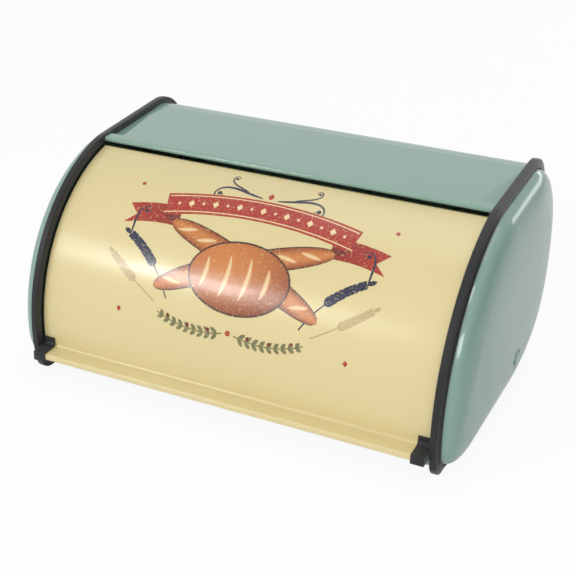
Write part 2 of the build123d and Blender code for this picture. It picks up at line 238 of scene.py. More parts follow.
# materials
enamel = dict(green=(0.236, 0.378, 0.314), cream=(0.742, 0.625, 0.322), roughness=0.12, coat=0.12,
              lidRoughness=0.25, lidCoat=0.15, flecks=0.35)
plastic = dict(colour=(0.018, 0.018, 0.020), roughness=0.45, specular=0.24, sheen=0.2,
               shade=0.3, grainScale=1600.0, grainDepth=0.35)
plated = dict(colour=(0.60, 0.60, 0.62), roughness=0.32)
nylon = dict(colour=(0.72, 0.70, 0.63), roughness=0.45)
noise = dict(slowScale=14.0, slowDetail=3.0, fineDetail=2.0, reliefDistance=0.0001, fleckScale=620.0,
             fleckDetail=3.0, fleckFrom=0.58, fleckTo=0.66)


def mathNode(tree, operation, *given):
    # a Math node whose inputs are numbers or the sockets that feed them
    node = tree.nodes.new("ShaderNodeMath")
    node.operation = operation
    for socket, value in zip(node.inputs, given):
        if isinstance(value, float):
            socket.default_value = value
        else:
            tree.links.new(value, socket)
    return node.outputs[0]


def addSocket(group, name, kind, direction, default=None):
    socket = group.interface.new_socket(name, in_out=direction, socket_type=kind)
    if default is not None:
        socket.default_value = default
    return socket


def surfaceGroup():
    # fine grain on the normal, with slow changes of shade and gloss, all from noise on Object coordinates
    group = bpy.data.node_groups.new("paintedSurface", "ShaderNodeTree")
    addSocket(group, "Colour", "NodeSocketColor", "INPUT", (0.5, 0.5, 0.5, 1))
    addSocket(group, "Shade", "NodeSocketFloat", "INPUT", 0.03)
    addSocket(group, "Gloss", "NodeSocketFloat", "INPUT", 0.2)
    addSocket(group, "Gloss spread", "NodeSocketFloat", "INPUT", 0.04)
    addSocket(group, "Grain scale", "NodeSocketFloat", "INPUT", 900.0)
    addSocket(group, "Grain depth", "NodeSocketFloat", "INPUT", 0.02)
    addSocket(group, "Colour", "NodeSocketColor", "OUTPUT")
    addSocket(group, "Roughness", "NodeSocketFloat", "OUTPUT")
    addSocket(group, "Normal", "NodeSocketVector", "OUTPUT")
    nodes, links = group.nodes, group.links
    given = nodes.new("NodeGroupInput")
    result = nodes.new("NodeGroupOutput")
    where = nodes.new("ShaderNodeTexCoord")
    slow = nodes.new("ShaderNodeTexNoise")
    slow.inputs["Scale"].default_value = noise["slowScale"]
    slow.inputs["Detail"].default_value = noise["slowDetail"]
    fine = nodes.new("ShaderNodeTexNoise")
    fine.inputs["Detail"].default_value = noise["fineDetail"]
    links.new(where.outputs["Object"], slow.inputs["Vector"])
    links.new(where.outputs["Object"], fine.inputs["Vector"])
    links.new(given.outputs["Grain scale"], fine.inputs["Scale"])
    centred = mathNode(group, "SUBTRACT", slow.outputs["Fac"], 0.5)
    tone = nodes.new("ShaderNodeHueSaturation")
    links.new(mathNode(group, "MULTIPLY_ADD", centred, given.outputs["Shade"], 1.0), tone.inputs["Value"])
    links.new(given.outputs["Colour"], tone.inputs["Color"])
    links.new(tone.outputs["Color"], result.inputs["Colour"])
    gloss = mathNode(group, "MULTIPLY_ADD", centred, given.outputs["Gloss spread"], given.outputs["Gloss"])
    links.new(gloss, result.inputs["Roughness"])
    relief = nodes.new("ShaderNodeBump")
    relief.inputs["Distance"].default_value = noise["reliefDistance"]
    links.new(given.outputs["Grain depth"], relief.inputs["Strength"])
    links.new(fine.outputs["Fac"], relief.inputs["Height"])
    links.new(relief.outputs["Normal"], result.inputs["Normal"])
    return group


surface = surfaceGroup()


def finish(name, colour, gloss, shade=0.03, glossSpread=0.04, grainScale=900.0, grainDepth=0.02,
           metallic=0.0, coat=0.0, coatRoughness=0.04, specular=0.5, sheen=0.0):
    # a Principled shader fed by the painted surface group
    material = bpy.data.materials.new(name)
    material.use_nodes = True
    nodes, links = material.node_tree.nodes, material.node_tree.links
    shader = nodes["Principled BSDF"]
    paint = nodes.new("ShaderNodeGroup")
    paint.node_tree = surface
    paint.inputs["Colour"].default_value = (*colour, 1)
    paint.inputs["Shade"].default_value = shade
    paint.inputs["Gloss"].default_value = gloss
    paint.inputs["Gloss spread"].default_value = glossSpread
    paint.inputs["Grain scale"].default_value = grainScale
    paint.inputs["Grain depth"].default_value = grainDepth
    links.new(paint.outputs["Colour"], shader.inputs["Base Color"])
    links.new(paint.outputs["Roughness"], shader.inputs["Roughness"])
    links.new(paint.outputs["Normal"], shader.inputs["Normal"])
    shader.inputs["Metallic"].default_value = metallic
    shader.inputs["Coat Weight"].default_value = coat
    shader.inputs["Coat Roughness"].default_value = coatRoughness
    shader.inputs["Specular IOR Level"].default_value = specular
    shader.inputs["Sheen Weight"].default_value = sheen
    return material


def wearGroup():
    # small flecks where the ground shows through the ink: a noise past a threshold
    group = bpy.data.node_groups.new("flecks", "ShaderNodeTree")
    addSocket(group, "Ink", "NodeSocketColor", "INPUT", (0.5, 0.5, 0.5, 1))
    addSocket(group, "Ground", "NodeSocketColor", "INPUT", (0.8, 0.8, 0.8, 1))
    addSocket(group, "Amount", "NodeSocketFloat", "INPUT", 0.35)
    addSocket(group, "Colour", "NodeSocketColor", "OUTPUT")
    nodes, links = group.nodes, group.links
    given = nodes.new("NodeGroupInput")
    result = nodes.new("NodeGroupOutput")
    where = nodes.new("ShaderNodeTexCoord")
    spots = nodes.new("ShaderNodeTexNoise")
    spots.inputs["Scale"].default_value = noise["fleckScale"]
    spots.inputs["Detail"].default_value = noise["fleckDetail"]
    links.new(where.outputs["Object"], spots.inputs["Vector"])
    fleck = nodes.new("ShaderNodeMapRange")
    fleck.inputs["From Min"].default_value = noise["fleckFrom"]
    fleck.inputs["From Max"].default_value = noise["fleckTo"]
    links.new(spots.outputs["Fac"], fleck.inputs["Value"])
    part = mathNode(group, "MULTIPLY", fleck.outputs["Result"], given.outputs["Amount"])
    mix = nodes.new("ShaderNodeMix")
    mix.data_type = "RGBA"
    links.new(part, mix.inputs["Factor"])
    links.new(given.outputs["Ink"], mix.inputs["A"])
    links.new(given.outputs["Ground"], mix.inputs["B"])
    links.new(mix.outputs["Result"], result.inputs["Colour"])
    return group


def inkFinish(name):
    # the enamel's own gloss, with the colour read from the piece's ink attribute
    material = finish(name, enamel["cream"], enamel["lidRoughness"], coat=enamel["lidCoat"])
    nodes, links = material.node_tree.nodes, material.node_tree.links
    colour = nodes.new("ShaderNodeAttribute")
    colour.attribute_name = "ink"
    worn = nodes.new("ShaderNodeGroup")
    worn.node_tree = wearGroup()
    worn.inputs["Ground"].default_value = (*enamel["cream"], 1)
    worn.inputs["Amount"].default_value = enamel["flecks"]
    paint = next(node for node in nodes if node.type == "GROUP" and node.node_tree == surface)
    links.new(colour.outputs["Color"], worn.inputs["Ink"])
    links.new(worn.outputs["Colour"], paint.inputs["Colour"])
    return material


greenEnamel = finish("greenEnamel", enamel["green"], enamel["roughness"], coat=enamel["coat"])
creamEnamel = finish("creamEnamel", enamel["cream"], enamel["lidRoughness"], coat=enamel["lidCoat"])
blackPlastic = finish("blackPlastic", plastic["colour"], plastic["roughness"], shade=plastic["shade"],
                      grainScale=plastic["grainScale"], grainDepth=plastic["grainDepth"],
                      specular=plastic["specular"], sheen=plastic["sheen"])
printedInk = inkFinish("printedInk")
zincPlate = finish("zincPlate", plated["colour"], plated["roughness"], metallic=1.0, shade=0.1)
bushNylon = finish("bushNylon", nylon["colour"], nylon["roughness"])
print("materials made")


# rim trims: a channel section of (x, inset) pairs carried round the outline
trim = dict(rounding=0.9, flare=2.1, flareInset=4.0, leg=6.4, legEdge=0.25, tipEdge=0.2,
            flareBend=1.2, grooveEdge=0.1, flareToe=19.6, flareUpper=40.0)


def rimTrims():
    # every (x, inset) pair of the section is a ring: the outline drawn in by inset, at x
    inner, outer = seam["inner"], seam["outer"]
    groove, base, tip = inner + seam["wall"], inner + seam["wall"] + 2 * seam["sheet"], outer + trim["flare"]
    section = roundedPath(
        [(base, seam["cover"]), (tip, seam["cover"]), (tip, trim["flareInset"]),
         (outer, 2 * trim["rounding"]), (outer, 0), (inner, 0), (inner, trim["leg"]), (groove, trim["leg"]),
         (groove, seam["wall"]), (base, seam["wall"])],
        [trim["tipEdge"], trim["tipEdge"], trim["flareBend"], trim["rounding"], trim["rounding"],
         trim["legEdge"], trim["legEdge"], trim["grooveEdge"]])
    rings = []
    for x, inset in section:
        # the flared leg's corners widen from the rim's own to the cap's
        share = np.clip((inset - 2 * trim["rounding"]) / (trim["flareInset"] - 2 * trim["rounding"]), 0, 1)
        share *= float(x >= base - 0.01)
        toe = (rim["toe"] - inset) * (1 - share) + trim["flareToe"] * share
        upper = (rim["upperBack"] - inset) * (1 - share) + trim["flareUpper"] * share
        ring = outline(inset, cornerRadii(inset, toe, upper))
        rings.append(np.column_stack([np.full(len(ring), x), ring]))
    grid = np.stack(rings)
    for side in ("right", "left"):
        makePiece(side + "RimTrim", [(grid, True, True)], "body", blackPlastic,
                  [side + "_rim_trim"], mirrored=side == "left")


rimTrims()
print("rim trims made")

# end caps: a superelliptic bulge over the outline, with a round dimple under the pivot pin's head
cap = dict(height=19.6, inset=4.7, reach=24.0, power=2.5, toeGrowth=1.15, upperGrowth=0.75, steps=36,
           foot=((0.0, -0.35), (0.08, -0.1), (0.3, 0.0)), crownInset=47.0, crownStep=0.6, crownDome=3.0,
           domeReach=60.0, middle=(0.92, 0.85, 0.77, 0.7, 0.6, 0.5, 0.4, 0.3, 0.2, 0.1, 0.0),
           middleReach=36.0, seatRadius=7.4, seatDepth=1.8, seatEdge=0.7, floorPoints=46)


def capRing(x, inset):
    # the outline drawn in by inset, with wider corners; past the bulge the rings run parallel, so that
    # no edges cross on the crown
    edge = min(inset, cap["inset"] + cap["reach"])
    toe, upper, lower = cornerRadii(edge, rim["toe"] + cap["toeGrowth"] * edge,
                                    rim["upperBack"] + cap["upperGrowth"] * edge)
    beyond = inset - edge
    ring = outline(inset, (toe - beyond, upper - beyond, lower - beyond), cap["floorPoints"])
    return np.column_stack([np.full(len(ring), x), ring])


def crownFall(inset):
    # the crown falls by dome * (1 - t)^2 towards its edge, t from the bulge's foot inwards
    return cap["crownDome"] * max(0.0, 1 - (inset - cap["inset"]) / cap["domeReach"]) ** 2


def endCaps():
    # x = height * sin^e(t), inset = reach * (1 - cos^e(t)) past the first one, with e = 2 / power
    baseX = seam["inner"] + seam["wall"] + 2 * seam["sheet"]
    rings = [capRing(baseX, seam["flange"])]
    rings += [capRing(baseX + rise, cap["inset"] + inset) for rise, inset in cap["foot"]]
    turn = np.linspace(0, math.pi / 2, cap["steps"] + 1)[1:]
    rises = cap["height"] * np.sin(turn) ** (2 / cap["power"])
    insets = cap["inset"] + cap["reach"] * (1 - np.cos(turn) ** (2 / cap["power"]))
    for rise, inset in zip(rises, insets):
        rings.append(capRing(baseX + rise - crownFall(inset) * (rise / cap["height"]) ** 4, inset))
    for inset in np.arange(insets[-1] + cap["crownStep"], cap["crownInset"], cap["crownStep"]):
        rings.append(capRing(baseX + cap["height"] - crownFall(inset), inset))
    last = rings[-1]
    centre = last.mean(axis=0)
    for share in cap["middle"]:
        ring = centre + (last - centre) * share
        ring[:, 0] = baseX + cap["height"] - crownFall(cap["crownInset"] + cap["middleReach"] * (1 - share))
        rings.append(ring)
    grid = np.stack(rings)
    # the dimple: x goes down to the seat's depth inside its radius, eased over its rounded edge
    away = np.hypot(grid[..., 1], grid[..., 2])
    seatX = baseX + cap["height"] - cap["seatDepth"]
    ease = eased(np.clip((away - cap["seatRadius"] + cap["seatEdge"]) / (2 * cap["seatEdge"]), 0, 1))
    grid[..., 0] = np.where(ease < 1, seatX + (grid[..., 0] - seatX) * ease, grid[..., 0])
    for side in ("right", "left"):
        makePiece(side + "EndCap", [(grid[:, ::-1], False, True)], "body", greenEnamel,
                  [side + "_end_cap"], thickness=seam["sheet"], mirrored=side == "left", weld=True)


endCaps()
print("end caps made")

# body shell
shell = dict(inset=5.1, beadY=-23.3, beadRadius=2.2, beadTop=133.75, strip=8.0, gussetReach=15.2,
             lipZ=-10.4, foldBlend=1.2, curlStart=345, closeX=150.0, closeBefore=0.9, closeAfter=1.3,
             closeStep=0.2, neckLap=0.02, neckBend=0.3, neckEase=0.09)


def bodyPath(inset, topStops, topZ):
    # side path from the top's front edge over the back and floor to the lip under the lid
    parts = outlineParts(inset)
    radius = rim["radius"] - inset
    end = np.array([-math.sqrt(radius ** 2 - shell["lipZ"] ** 2), shell["lipZ"]])
    lipAngle = math.degrees(math.atan2(end[1], end[0])) % 360
    toeAngle = math.degrees(math.atan2(parts[0][0][1], parts[0][0][0])) % 360
    lip = arcPoints((0, 0), radius, toeAngle, lipAngle, 8)
    return np.concatenate([np.column_stack([topStops, topZ]), *parts[3:], lip, [end]])


def bodyShell():
    # the side path at every x; the top behind the bead is the lower of its own plane and the gussets' planes
    beadY, corner = shell["beadY"], rim["backReach"] - rim["upperBack"]
    back = beadY + shell["strip"]
    rise = (crestZ(corner, shell["inset"]) - shell["beadTop"]) / (corner - beadY)
    # rows stand closer round the fold
    before, after = back - shell["closeBefore"], back + shell["closeAfter"]
    stops = np.concatenate([spread(beadY, before, 5), np.arange(before, after, shell["closeStep"]),
                            spread(after, corner, 48)])
    flat = shell["beadTop"] + rise * (stops - beadY)
    curlC = (beadY, shell["beadTop"] - shell["beadRadius"])
    curl = arcPoints(curlC, shell["beadRadius"], shell["curlStart"], 90, 26)
    path = np.concatenate([curl, bodyPath(shell["inset"], stops, flat)])
    # columns stand closer past closeX, where the gussets are
    edge = np.concatenate([spread(shell["closeX"], seam["inner"], 37), [seam["inner"]]])
    columns = np.concatenate([-edge[::-1], spread(-shell["closeX"], shell["closeX"], 31)[1:], edge])
    grid = np.zeros((len(path), len(columns), 3))
    grid[..., 0] = columns
    grid[..., 1:] = path[:, None, :]
    # gusset plane through the fold's start, the low corner at the seam and the fold's end
    foldX = seam["inner"] - shell["gussetReach"]
    startZ = shell["beadTop"] + rise * shell["strip"]
    lowZ = crestZ(back, shell["inset"])
    slopeX = (lowZ - startZ) / (seam["inner"] - foldX)
    slopeY = (crestZ(corner, shell["inset"]) - lowZ) / (corner - back)
    top = slice(len(curl), len(curl) + len(stops))
    y, z, x = grid[top, :, 1], grid[top, :, 2], np.abs(grid[top, :, 0])
    plane = startZ + slopeX * (x - foldX) + slopeY * (y - back)
    blend = shell["foldBlend"]
    gap = z - plane
    # the lower of both, rounded where they cross
    lower = 0.5 * (z + plane - np.sqrt(gap ** 2 + (0.25 * blend) ** 2))
    lower += 0.125 * blend * np.exp(-(gap / blend) ** 2)
    step = eased(np.clip(y - back + 0.5, 0, 1))
    grid[top, :, 2] = z + (np.minimum(lower, z) - z) * step
    patches = [(grid, False, False)]
    seamX = seam["inner"] + seam["wall"]
    # the neck: from the sheet's side a flange turns out into the rims' channels
    neckStops = spread(beadY, corner, 40)
    neck, bend, ease = [], shell["neckBend"], shell["neckEase"]
    for x, inset in ((seam["inner"] + shell["neckLap"], shell["inset"]), (seamX - bend, shell["inset"]),
                     (seamX - ease, shell["inset"] - ease), (seamX, shell["inset"] - bend),
                     (seamX, seam["flange"])):
        ring = bodyPath(inset, neckStops, crestZ(neckStops, inset))
        neck.append(np.column_stack([np.full(len(ring), x), ring]))
    neck = np.stack(neck, axis=1)
    mirror = neck.copy()
    mirror[..., 0] *= -1
    patches += [(neck, False, False), (mirror[:, ::-1], False, False)]
    makePiece("bodyShell", patches, "body", greenEnamel, ["body_shell"],
              thickness=seam["sheet"])


bodyShell()
print("body shell made")

# lid panel: curved sheet with rolled sides and a pull shelf
lid = dict(radius=130.0, topAngle=101.8, halfWidth=166.7, edge=1.4, ledge=3.0, ledgeEdge=0.3,
           ledgeDepth=2, inward=165.0, flange=14.0,
           topFlange=(5.0, 2.5, 1.0, 0.45, 0.12, 0.0), shelfZ=-9.2, shelfFront=144.4, draft=0.6, hem=5.2,
           hemReturn=4.0, crease=2.5, fold=1.4, footArc=2.2, rows=110, columns=41)


def lidPanel():
    # points (radius - drop) * (cos, sin) at x; drop is a quarter circle at the sides, then straight down
    radius = lid["radius"]
    creaseAngle = 180 + math.degrees(math.asin(-lid["shelfZ"] / radius))
    angles = np.radians(np.linspace(lid["topAngle"], creaseAngle - lid["footArc"], lid["rows"]))
    turn = np.radians(np.linspace(0, 90, 11))
    rollX = lid["halfWidth"] - lid["edge"] + lid["edge"] * np.sin(turn)
    rollDrop = lid["edge"] * (1 - np.cos(turn))
    # below the rolled edge the side steps in to the arms
    sideX = np.concatenate([rollX, [lid["halfWidth"]], np.linspace(lid["halfWidth"], lid["inward"], 4),
                            np.full(4, lid["inward"])])
    ledgeFoot = lid["ledge"] + lid["ledgeDepth"]
    sideDrop = np.concatenate([rollDrop, [lid["ledge"] - lid["ledgeEdge"]],
                               np.linspace(lid["ledge"], ledgeFoot, 4),
                               np.linspace(ledgeFoot, lid["flange"], 5)[1:]])
    middle = np.linspace(-rollX[0], rollX[0], lid["columns"])
    x = np.concatenate([-sideX[:0:-1], middle, sideX[1:]])
    drop = np.concatenate([sideDrop[:0:-1], np.zeros(len(middle)), sideDrop[1:]])
    main = np.zeros((len(angles), len(x), 3))
    main[..., 0] = x
    main[..., 1] = (radius - drop) * np.cos(angles)[:, None]
    main[..., 2] = (radius - drop) * np.sin(angles)[:, None]
    top = math.radians(lid["topAngle"])
    depth = np.array(lid["topFlange"])
    flange = np.zeros((len(depth), len(middle), 3))
    flange[..., 0] = middle
    flange[..., 1] = ((radius - depth) * math.cos(top))[:, None]
    flange[..., 2] = ((radius - depth) * math.sin(top))[:, None]
    start = radius * np.array([math.cos(math.radians(creaseAngle - lid["footArc"])),
                               math.sin(math.radians(creaseAngle - lid["footArc"]))])
    corner = radius * np.array([math.cos(math.radians(creaseAngle)), math.sin(math.radians(creaseAngle))])
    foot = roundedPath([start, corner, (-lid["shelfFront"], lid["shelfZ"]),
                        (-lid["shelfFront"] - lid["draft"], lid["shelfZ"] - lid["hem"]),
                        (-lid["shelfFront"] + lid["hemReturn"], lid["shelfZ"] - lid["hem"])],
                       [lid["crease"], lid["fold"], lid["fold"]], 8)
    apron = np.zeros((len(foot), len(middle), 3))
    apron[..., 0] = middle
    apron[..., 1:] = foot[:, None, :]
    makePiece("lidPanel", [(main[:, ::-1], False, False), (flange[:, ::-1], False, False),
                           (apron[:, ::-1], False, False)], "lid",
              creamEnamel, ["lid_panel"], thickness=seam["sheet"], weld=True)


lidPanel()
print("lid panel made")

# print on the lid: flat inks just over the enamel, u across the lid and v up along its curve, in millimetres
# from the point at the middle angle
ink = dict(lift=0.05, layer=0.03, middle=141.0, navy=(33, 38, 64), red=(172, 50, 37), deepRed=(112, 30, 26),
           crust=(206, 128, 66), bake=(138, 66, 34), outline=(74, 38, 28), flour=(238, 214, 164),
           straw=(190, 168, 118), olive=(118, 116, 76))


def fromScreen(colour):
    # screen colour to linear light: ((c + 0.055) / 1.055) ^ 2.4
    return ((np.array(colour, float) / 255 + 0.055) / 1.055) ** 2.4


class InkSheet:
    # collects patches of (u, v) grids and their colour at each point; a higher layer lies over a lower one
    def __init__(self):
        self.patches, self.inks = [], []

    def lay(self, flat, layer, colour, closed=False):
        # the grid is turned over where its columns and rows would face the lid
        across = np.diff(flat, axis=1)[:-1]
        along = np.diff(flat, axis=0)[:, :-1]
        shade = np.broadcast_to(colour, (*flat.shape[:2], 3)).copy()
        if (across[..., 0] * along[..., 1] - across[..., 1] * along[..., 0]).sum() < 0:
            flat, shade = flat[:, ::-1], shade[:, ::-1]
        angle = np.radians(ink["middle"]) - flat[..., 1] / lid["radius"]
        radius = lid["radius"] + ink["lift"] + ink["layer"] * layer
        place = np.stack([flat[..., 0], radius * np.cos(angle), radius * np.sin(angle)], axis=-1)
        self.patches.append((place, False, closed))
        self.inks.append(shade.reshape(-1, 3))

    def band(self, path, half, layer, colour, across=3, edge=None):
        # path +- half * its normal; edge is the colour at both sides
        path = np.asarray(path, float)
        run = np.gradient(path, axis=0)
        run /= np.maximum(np.hypot(run[:, 0], run[:, 1]), 1e-9)[:, None]
        side = np.stack([-run[:, 1], run[:, 0]], axis=1)
        share = np.linspace(-1, 1, across)
        flat = path[:, None] + side[:, None] * (np.broadcast_to(half, len(path))[:, None] * share)[..., None]
        if edge is not None:
            mix = np.abs(share)[None, :, None] ** 2
            colour = colour * (1 - mix) + edge * mix
        self.lay(flat, layer, colour)

    def disc(self, centre, radii, layer, colour, rings=2, around=20, edge=None, light=(0.0, 0.0)):
        # centre + share * radii * (cos, sin); edge is the colour at the rim, light moves the palest point
        share = np.linspace(0, 1, rings + 1)[:, None]
        angle = np.radians(spread(0, 360, around))[None, :]
        flat = np.stack([centre[0] + radii[0] * share * np.cos(angle),
                         centre[1] + radii[1] * share * np.sin(angle)], axis=-1)
        if edge is not None:
            away = np.hypot(share * np.cos(angle) - light[0], share * np.sin(angle) - light[1])[..., None]
            mix = np.clip(away / (1 + math.hypot(*light)), 0, 1) ** 1.6
            colour = colour * (1 - mix) + edge * mix
        self.lay(flat, layer, colour, closed=True)

    def leaf(self, base, heading, length, width, layer, colour, bend=0.0, edge=None):
        # a band whose width is width * sin(pi t) ^ 0.7 along a path that turns by bend
        t = np.linspace(0, 1, max(6, int(length / 1.5)))
        path = turning(base, heading, length, bend * t, len(t))
        self.band(path, width * np.sin(np.pi * t) ** 0.7, layer, colour, edge=edge)


def turning(start, heading, length, turn, count):
    # path whose heading in degrees is heading + turn, turn given at each point
    angle = np.radians(heading + np.broadcast_to(turn, count))
    step = length / (count - 1)
    moves = step * np.stack([np.cos(angle), np.sin(angle)], axis=1)
    return np.array(start) + np.concatenate([[[0, 0]], np.cumsum((moves[1:] + moves[:-1]) / 2, axis=0)])


def facing(aim, side):
    # the heading aim, or its mirror image on the left
    return aim if side > 0 else 180 - aim


scrolls = (dict(start=(6, 62), heading=8, length=62, bend=26, curl=-420, width=1.3),
           dict(start=(20, 66), heading=20, length=34, bend=-10, curl=400, width=0.9),
           dict(start=(100, 8), heading=92, length=40, bend=-24, curl=380, width=1.0))


def scroll(sheet, colour, side, start, heading, length, bend, curl, width):
    # a stroke that starts straight and winds up: turn = bend * t + curl * t ^ 4
    t = np.linspace(0, 1, 44)
    path = turning(start, heading, length, bend * t + curl * t ** 4, len(t)) * np.array([side, 1])
    sheet.band(path, width * (0.25 + 0.75 * np.sin(np.pi * t ** 0.7)) * (1 - 0.4 * t), 2, colour)
    sheet.disc(path[-1], (width * 1.5, width * 1.5), 3, colour, around=12)


earForm = dict(stem=0.55, bare=0.45, lean=26, grainLoss=0.03)
ears = dict(navy=dict(start=(56, -34), heading=62, length=62, bend=-34, pairs=9, grain=8.0, plump=1.9),
            straw=dict(start=(66, -38), heading=30, length=52, bend=8, pairs=8, grain=7.0, plump=1.6))


def ear(sheet, colour, side, start, heading, length, bend, pairs, grain, plump):
    # an ear of corn: a bent stem with pairs of grains up its outer part and one at its tip
    t = np.linspace(0, 1, 40)
    path = turning(start, heading, length, bend * t, len(t)) * np.array([side, 1])
    sheet.band(path, earForm["stem"], 1, colour)
    for k in range(pairs):
        at = earForm["bare"] + (1 - earForm["bare"]) * k / pairs
        size = grain * (1 - earForm["grainLoss"] * k)
        for lean in (-earForm["lean"], earForm["lean"]):
            aim = heading + bend * at + lean
            sheet.leaf(path[int(at * 39)], facing(aim, side), size, plump, 2, colour)
    sheet.leaf(path[-1], facing(heading + bend, side), grain, plump, 2, colour)


# cuts are leaves in the crust
baguette = dict(tilt=21, half=74, arch=3.5, outline=9.6, width=8.6, cuts=(-3, -2, -1, 1, 2, 3), cutSpacing=8,
                cutLength=17, cutWidth=2.3, cutLean=30, cutStart=(0.86, 0.5))
loaf = dict(middle=(0, -7), outline=(42.5, 28.5), radii=(41, 27), light=(-0.3, 0.4),
            cuts=(-1.5, -0.5, 0.5, 1.5), cutSpacing=17, cutShift=5, cutReach=17.5, cutNarrowing=0.48,
            cutHeading=68, cutWidth=2.6, cutBend=34)


def loafAndBaguettes(sheet, tone):
    s = np.linspace(-1, 1, 64)
    for side in (-1, 1):
        tilt = math.radians(baguette["tilt"] * side)
        way = np.array([math.cos(tilt), math.sin(tilt)])
        over = np.array([-way[1], way[0]])
        path = s[:, None] * baguette["half"] * way + (baguette["arch"] * (1 - s ** 2))[:, None] * over
        body = np.sqrt(1 - np.abs(s) ** 4)
        layer = 1 if side < 0 else 4
        sheet.band(path, baguette["outline"] * body, layer, tone["outline"], across=7)
        sheet.band(path, baguette["width"] * body, layer + 1, tone["crust"], across=7, edge=tone["bake"])
        along, aside = baguette["cutStart"]
        for k in baguette["cuts"]:
            middle = path[int(31.5 + k * baguette["cutSpacing"])]
            start = middle - baguette["cutLength"] / 2 * (along * way - aside * over * side)
            sheet.leaf(start, math.degrees(tilt) - baguette["cutLean"] * side, baguette["cutLength"],
                       baguette["cutWidth"], layer + 2, tone["flour"], edge=tone["crust"])
    sheet.disc(loaf["middle"], loaf["outline"], 7, tone["outline"], rings=9, around=72)
    sheet.disc(loaf["middle"], loaf["radii"], 8, tone["crust"], rings=9, around=72, edge=tone["bake"],
               light=loaf["light"])
    for k in loaf["cuts"]:
        reach = loaf["cutReach"] * math.sqrt(1 - (k * loaf["cutNarrowing"]) ** 2)
        start = (k * loaf["cutSpacing"] - loaf["cutShift"], loaf["middle"][1] - reach)
        sheet.leaf(start, loaf["cutHeading"], 2 * reach, loaf["cutWidth"], 9, tone["flour"],
                   bend=loaf["cutBend"], edge=tone["crust"])


# the tails run out from u = fold and have a notch cut into their ends
ribbonForm = dict(half=80, foot=40, arch=10, width=9.8, rule=7.6, ruleWidth=0.45, fold=64, foldBack=16,
                  tailLength=46, notch=9, tailMiddle=31, tailWidth=8.5, tailDrop=5, tailWave=2,
                  foldLow=22.5, foldHigh=31.4, foldWidth=8.6, foldShade=0.62, diamond=2.6, dot=1.1,
                  markHeight=1.25)


def archHeight(share):
    # foot + arch * (1 - share^2), share of the half width
    return ribbonForm["foot"] + ribbonForm["arch"] * (1 - share ** 2)


def ribbon(sheet, tone):
    # an arched band, its ends folded back to notched tails
    u = np.linspace(-ribbonForm["half"], ribbonForm["half"], 70)
    path = np.stack([u, archHeight(u / ribbonForm["half"])], axis=1)
    for side in (-1, 1):
        o = np.linspace(-1, 1, 7)[None, :]
        r = np.linspace(0, 1, 16)[:, None]
        tailU = ribbonForm["fold"] + r * (ribbonForm["tailLength"] - ribbonForm["notch"] * (1 - np.abs(o)))
        tailV = (ribbonForm["tailMiddle"] + ribbonForm["tailWidth"] * o - ribbonForm["tailDrop"] * r
                 + ribbonForm["tailWave"] * np.sin(np.pi * r))
        dark = ribbonForm["foldShade"]
        shade = tone["red"] * (dark + (1 - dark) * r[..., None]) * np.ones((len(r), o.size, 1))
        sheet.lay(np.stack([side * tailU, tailV], axis=-1), 1, shade)
        f = np.linspace(0, 1, 8)[:, None]
        g = np.linspace(0, 1, 4)[None, :]
        foldU = ribbonForm["fold"] + ribbonForm["foldBack"] * f + 0 * g
        foldV = (ribbonForm["foldLow"] + (ribbonForm["foldHigh"] - ribbonForm["foldLow"]) * f
                 + g * (1 - f) * ribbonForm["foldWidth"])
        sheet.lay(np.stack([side * foldU, foldV], axis=-1), 2, tone["deepRed"])
    sheet.band(path, ribbonForm["width"], 3, tone["red"], across=7)
    for height in (-ribbonForm["rule"], ribbonForm["rule"]):
        sheet.band(path + np.array([0, height]), ribbonForm["ruleWidth"], 4, tone["flour"])
    # diamonds and dots by turns, eight steps from the middle to each end
    for k in range(-7, 8):
        at = (k * ribbonForm["half"] / 8, archHeight(k / 8))
        size, around = (ribbonForm["diamond"], 4) if k % 2 == 0 else (ribbonForm["dot"], 12)
        sheet.disc(at, (size, size * ribbonForm["markHeight"]), 4, tone["flour"], around=around)


twig = dict(start=(5, -50), heading=-14, length=58, bend=38, stem=0.5, lean=42, leafLength=7.5, leafLoss=0.25,
            leafWidth=1.6, berry=1.5, berryRise=2.6)


def sprig(sheet, tone, side):
    # nine pairs of leaves up a bent stem, three berries over it
    t = np.linspace(0, 1, 30)
    path = turning(twig["start"], twig["heading"], twig["length"], twig["bend"] * t, 30) * np.array([side, 1])
    sheet.band(path, twig["stem"], 1, tone["olive"])
    for k in range(1, 10):
        for lean in (-twig["lean"], twig["lean"]):
            aim = twig["heading"] + twig["bend"] * k / 10 + lean
            sheet.leaf(path[3 * k - 1], facing(aim, side), twig["leafLength"] - twig["leafLoss"] * k,
                       twig["leafWidth"], 2, tone["olive"])
    for k in (2, 5, 8):
        sheet.disc(path[3 * k] + np.array([0, twig["berryRise"]]), (twig["berry"], twig["berry"]), 3,
                   tone["deepRed"], around=12)


# small marks of the print: place, half sizes and points around, on both sides or in the middle
marks = dict(sides=(((108, 54), (1.7, 1.7), 12), ((96, -50), (2.0, 2.5), 4)),
             middle=(((0, 65), (2.6, 3.6), 4), ((0, -49), (2.2, 2.2), 14)))


